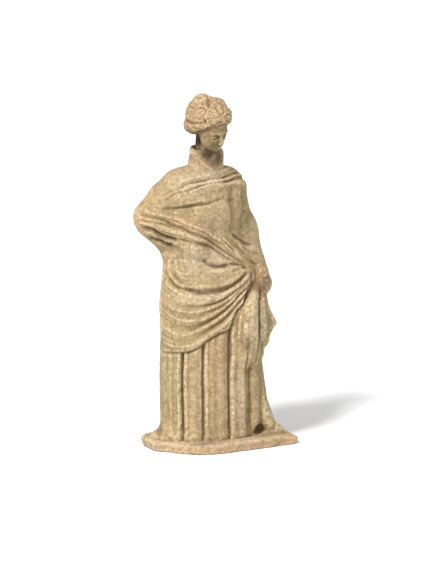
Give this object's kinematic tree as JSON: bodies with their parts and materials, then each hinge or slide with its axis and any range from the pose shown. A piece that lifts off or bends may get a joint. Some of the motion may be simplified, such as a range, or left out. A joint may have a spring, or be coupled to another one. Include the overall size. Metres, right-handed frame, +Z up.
{
  "type": "tanagra figurine",
  "caption": "Terracotta figurine of a standing draped woman, one hand on her hip, on a thin hand-cut plaque.",
  "frame": {"origin": "middle of the plaque's underside", "axes": "+Z up the figure, -Y the way her body faces, +X her left"},
  "size_m": [0.0853, 0.0477, 0.1996],
  "materials": {
    "pale_terracotta": "matte, worn and earthy",
    "orange_terracotta": "matte, worn and earthy"
  },
  "bodies": {
    "root": {"draped_woman": "pale_terracotta", "base_plaque": "orange_terracotta"}
  },
  "joints": []
}
